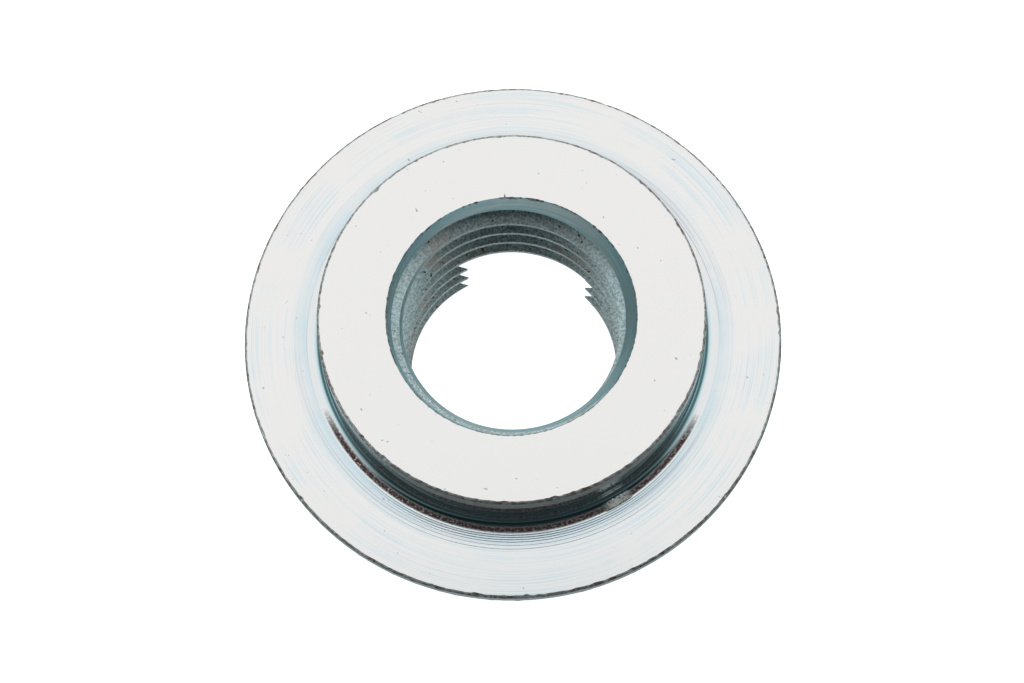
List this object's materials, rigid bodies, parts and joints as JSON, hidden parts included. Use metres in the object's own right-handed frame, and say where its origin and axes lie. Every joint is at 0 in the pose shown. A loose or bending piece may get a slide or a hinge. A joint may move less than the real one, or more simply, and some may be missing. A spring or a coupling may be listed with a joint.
{
  "type": "flanged hex weld nut",
  "caption": "Flanged hexagon weld nut with a round pilot boss, a through thread and a notch milled in the hexagon's end that opens into the bore.",
  "frame": {"origin": "centre of the hexagon's notched end face, on the thread's axis", "axes": "+Z along the thread's axis from the hexagon's end to the boss, +Y out through the notch"},
  "size_m": [0.031, 0.031, 0.0115],
  "materials": {
    "zinc_plated_steel": "turned steel, bright zinc plated, with a pale blue tinge"
  },
  "bodies": {
    "root": {"weld_nut": "zinc_plated_steel"}
  },
  "joints": []
}
